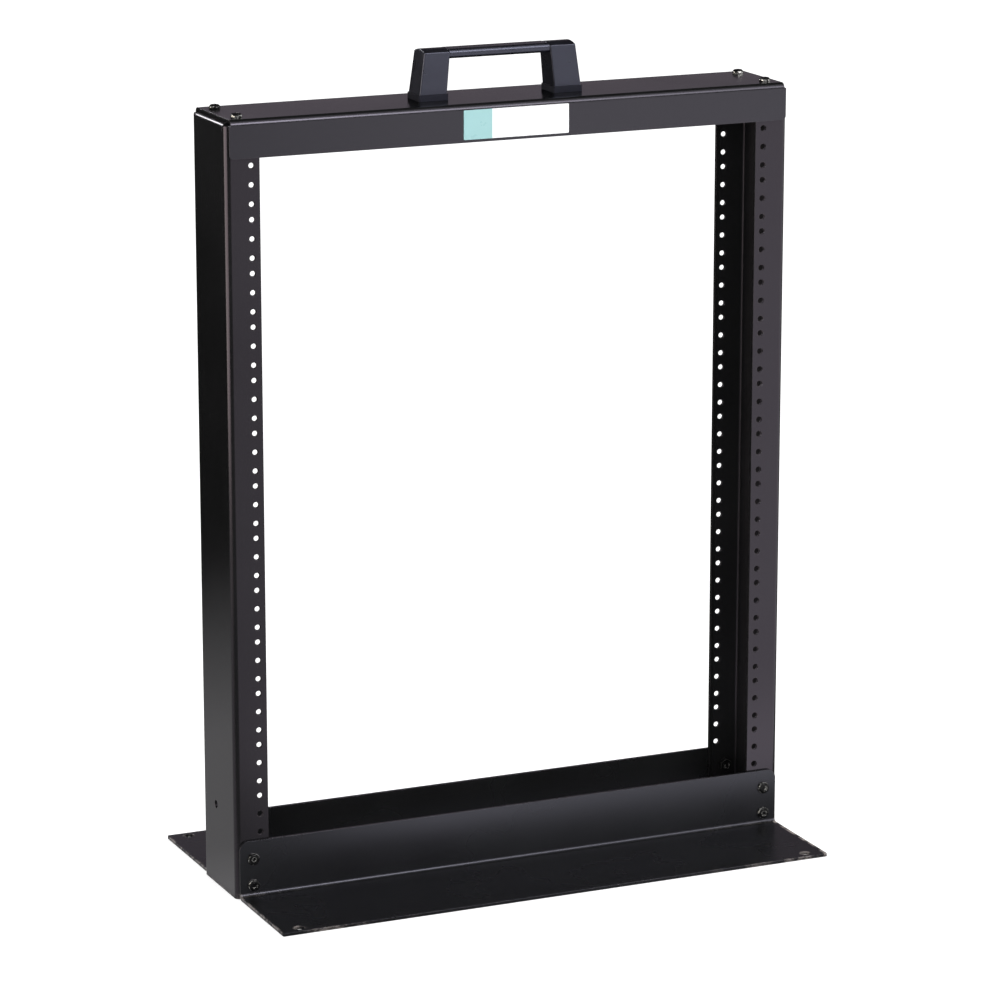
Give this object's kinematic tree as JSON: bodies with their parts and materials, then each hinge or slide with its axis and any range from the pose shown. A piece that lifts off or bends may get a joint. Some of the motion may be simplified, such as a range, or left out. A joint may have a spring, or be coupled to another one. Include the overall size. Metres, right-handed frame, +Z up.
{
  "type": "two post open frame rack, table top height",
  "caption": "Two folded steel posts with rows of rack holes on front and rear flanges, on base angles, joined by a top channel with a carrying handle.",
  "frame": {"origin": "on the floor, in the middle of the width and of the depth", "axes": "+X across the rack to the right seen from the front, -Y to the front, +Z up"},
  "size_m": [0.51, 0.2794, 0.7027],
  "materials": {
    "frame_paint": "satin black baked paint",
    "handle_plastic": "satin black moulded plastic",
    "handle_foot": "black moulded pad",
    "label": "bare two colour label, white and pale teal",
    "black_bolt": "black oxide with worn rims",
    "zinc_screw": "zinc plated"
  },
  "bodies": {
    "root": {"left_post": "frame_paint", "right_post": "frame_paint", "top_channel": "frame_paint", "front_base_angle": "frame_paint", "rear_base_angle": "frame_paint", "handle_left_foot": "handle_foot", "handle_right_foot": "handle_foot", "handle_left_leg": "handle_plastic", "handle_right_leg": "handle_plastic", "handle_grip": "handle_plastic", "handle_left_screw": "zinc_screw", "handle_right_screw": "zinc_screw", "label_plate": "label", "base_bolt_front_left_lower": "black_bolt", "base_nut_front_left_lower": "black_bolt", "base_bolt_front_left_upper": "black_bolt", "base_nut_front_left_upper": "black_bolt", "top_bolt_front_left": "black_bolt", "top_nut_front_left": "black_bolt", "base_bolt_front_right_lower": "black_bolt", "base_nut_front_right_lower": "black_bolt", "base_bolt_front_right_upper": "black_bolt", "base_nut_front_right_upper": "black_bolt", "top_bolt_front_right": "black_bolt", "top_nut_front_right": "black_bolt", "base_bolt_rear_left_lower": "black_bolt", "base_nut_rear_left_lower": "black_bolt", "base_bolt_rear_left_upper": "black_bolt", "base_nut_rear_left_upper": "black_bolt", "top_bolt_rear_left": "black_bolt", "top_nut_rear_left": "black_bolt", "base_bolt_rear_right_lower": "black_bolt", "base_nut_rear_right_lower": "black_bolt", "base_bolt_rear_right_upper": "black_bolt", "base_nut_rear_right_upper": "black_bolt", "top_bolt_rear_right": "black_bolt", "top_nut_rear_right": "black_bolt"}
  },
  "joints": []
}
